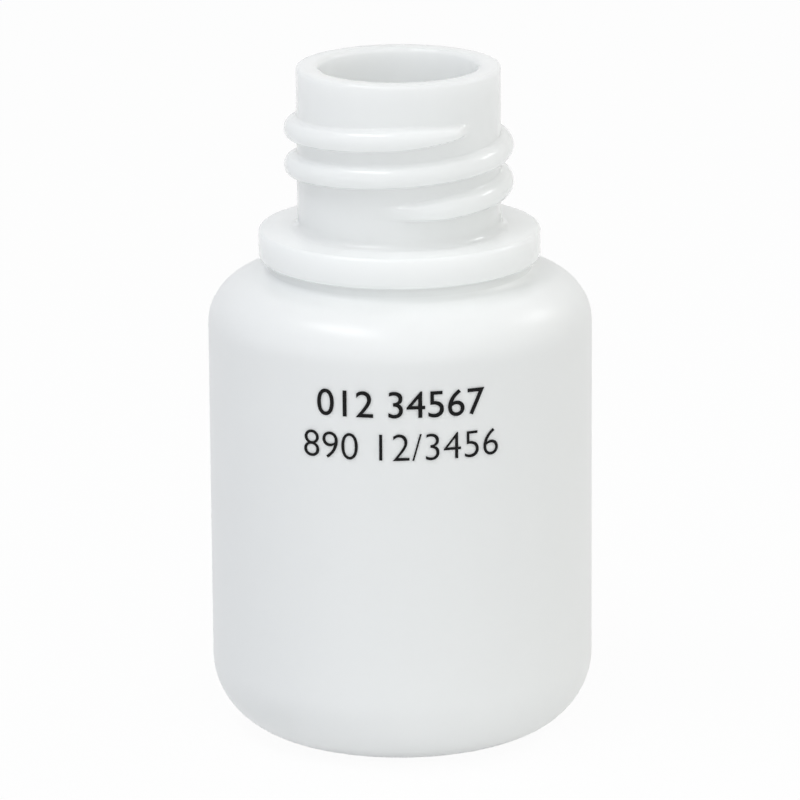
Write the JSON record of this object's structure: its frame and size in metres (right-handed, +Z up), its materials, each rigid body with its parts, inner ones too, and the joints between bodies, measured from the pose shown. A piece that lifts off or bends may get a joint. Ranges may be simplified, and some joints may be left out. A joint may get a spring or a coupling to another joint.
{
  "type": "contact lens solution bottle",
  "caption": "Small round translucent squeeze bottle with a screw-threaded neck above a flat collar, standing open, for holding contact lens solution; plain dark print marks on its front.",
  "frame": {"origin": "centre of the standing ring's plane, on the bottle's axis", "axes": "+Z up along the bottle's axis, -Y out of the printed front, +X to the right when facing the print"},
  "size_m": [0.033, 0.033, 0.0584],
  "materials": {
    "natural_ldpe": "natural translucent low-density polyethylene, satin blown body and glossier moulded neck",
    "black_ink": "thin dry black marking ink"
  },
  "bodies": {
    "root": {"bottle": "natural_ldpe", "code_line_upper": "black_ink", "code_line_lower": "black_ink"}
  },
  "joints": []
}
